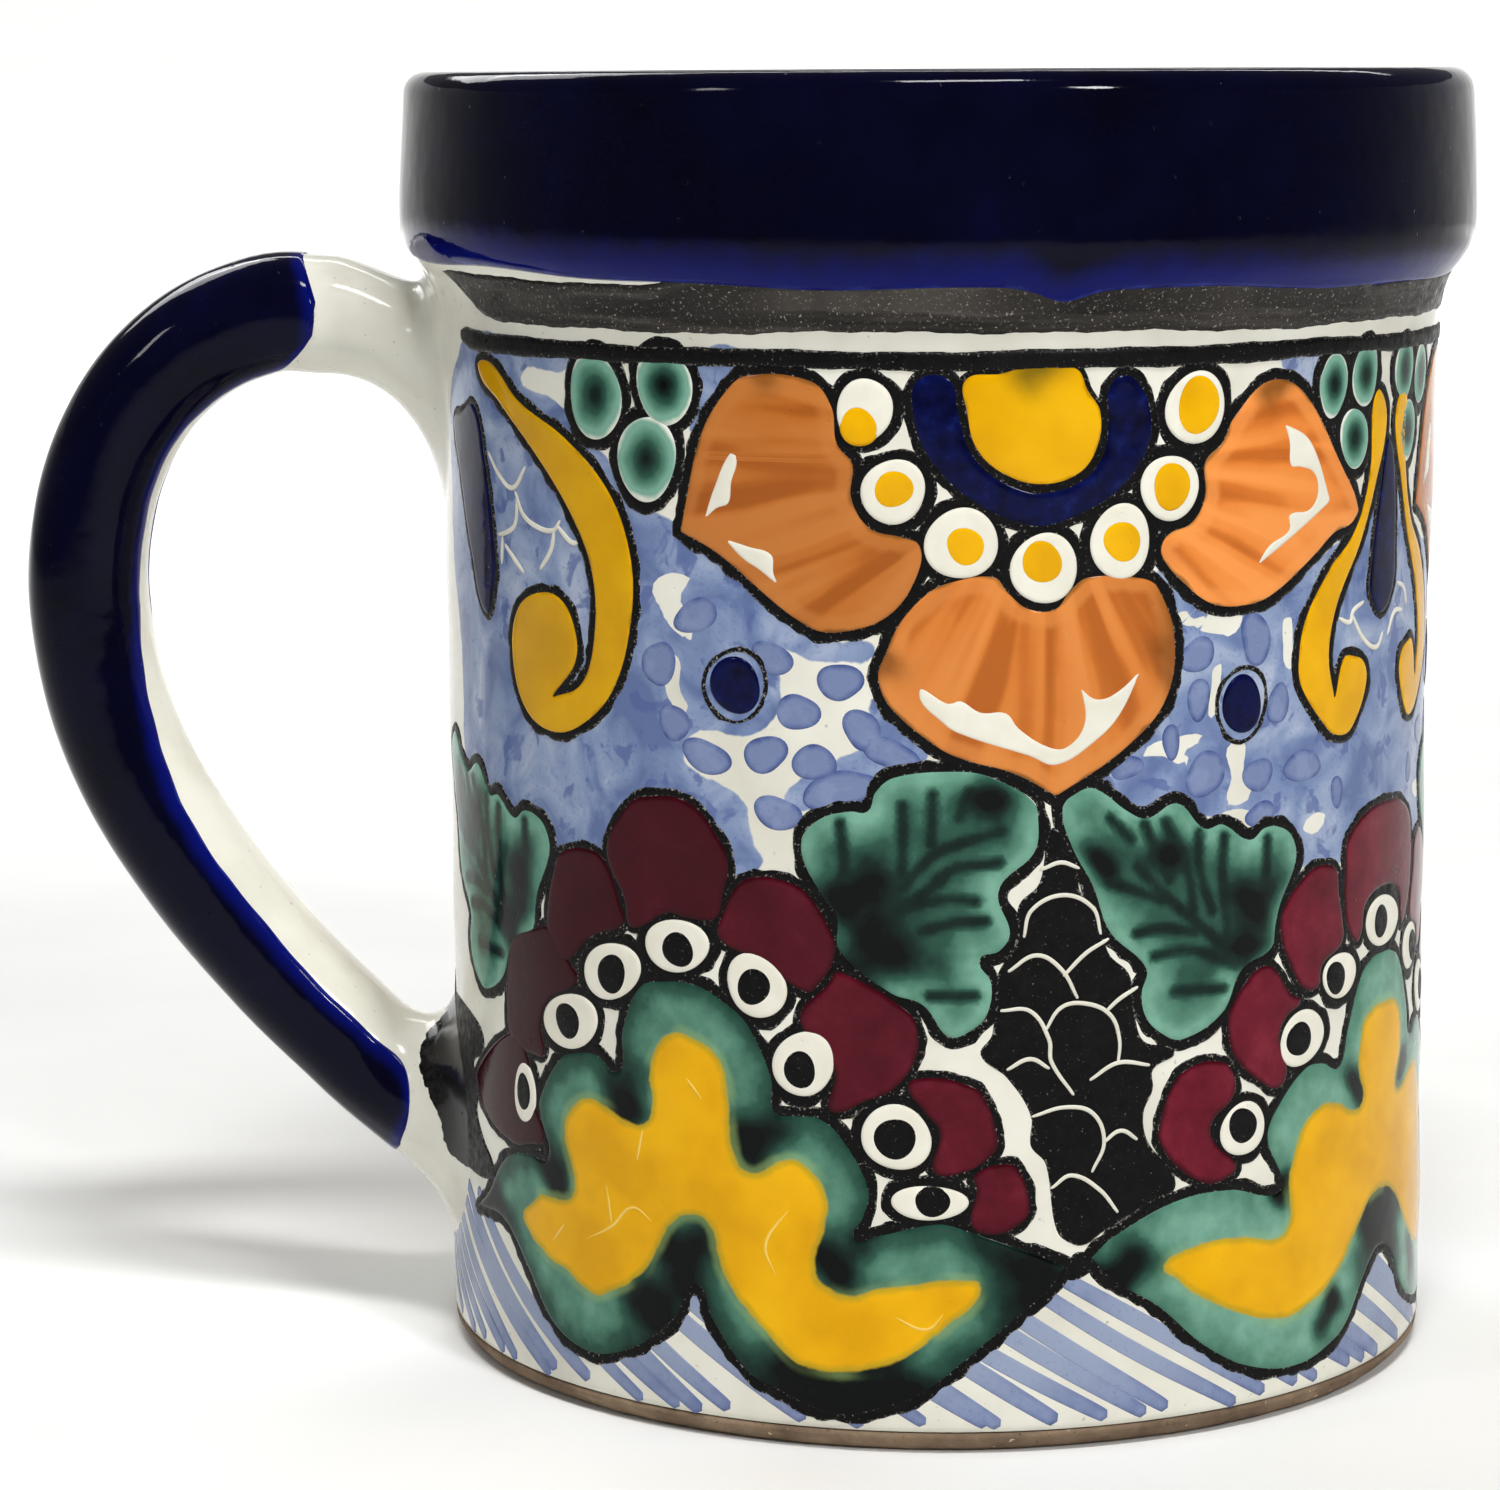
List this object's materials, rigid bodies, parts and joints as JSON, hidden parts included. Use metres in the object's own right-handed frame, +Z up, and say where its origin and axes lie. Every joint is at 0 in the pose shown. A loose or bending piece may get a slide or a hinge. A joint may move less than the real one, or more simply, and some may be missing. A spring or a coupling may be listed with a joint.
{
  "type": "painted pottery mug",
  "caption": "Straight-sided hand-painted pottery mug with a thick rim collar, a trimmed foot and a loop handle, under raised flower and leaf glazes.",
  "frame": {"origin": "centre of the foot ring's resting face, on the cup's axis", "axes": "+Z up along the cup's axis; -X towards the handle; -Y is the side with the handle on its left"},
  "size_m": [0.1237, 0.0906, 0.108],
  "materials": {
    "bare_clay": "unglazed low-fired earthenware, matt",
    "white_glaze": "glossy opaque tin-white glaze with pinholes",
    "cobalt_glaze": "glossy deep cobalt glaze",
    "black_pigment": "dry satin black, speckled grey",
    "orange_glaze": "glossy raised orange glaze with brush streaks",
    "yellow_glaze": "glossy raised yellow glaze",
    "wine_glaze": "glossy raised wine-red glaze",
    "green_glaze": "glossy raised green glaze with dark veins"
  },
  "bodies": {
    "root": {"clay_cup": "bare_clay", "cobalt_cup_1": "cobalt_glaze", "cobalt_cup_2": "cobalt_glaze", "cobalt_cup_3": "cobalt_glaze", "foot_ring": "bare_clay", "handle": "bare_clay", "handle_blue_stripe": "cobalt_glaze", "handle_white_glaze": "white_glaze", "inside_white_glaze": "white_glaze", "leaf_pair_1": "green_glaze", "leaf_pair_2": "green_glaze", "leaf_pair_3": "green_glaze", "leaf_pair_4": "green_glaze", "lower_black_band": "black_pigment", "lower_handle_joint": "bare_clay", "lower_joint_glaze": "white_glaze", "orange_flower_1": "orange_glaze", "orange_flower_2": "orange_glaze", "orange_flower_3": "orange_glaze", "outside_white_glaze": "white_glaze", "rim_blue_glaze": "cobalt_glaze", "rim_collar": "bare_clay", "scaly_cone_1": "black_pigment", "scaly_cone_2": "black_pigment", "scaly_cone_3": "black_pigment", "scaly_cone_4": "black_pigment", "underside_glaze": "white_glaze", "upper_black_band": "black_pigment", "upper_handle_joint": "bare_clay", "upper_joint_glaze": "white_glaze", "wine_flower_1": "wine_glaze", "wine_flower_2": "wine_glaze", "wine_flower_3": "wine_glaze", "wine_flower_4": "wine_glaze", "yellow_heart_1": "yellow_glaze", "yellow_heart_2": "yellow_glaze", "yellow_heart_3": "yellow_glaze"}
  },
  "joints": []
}
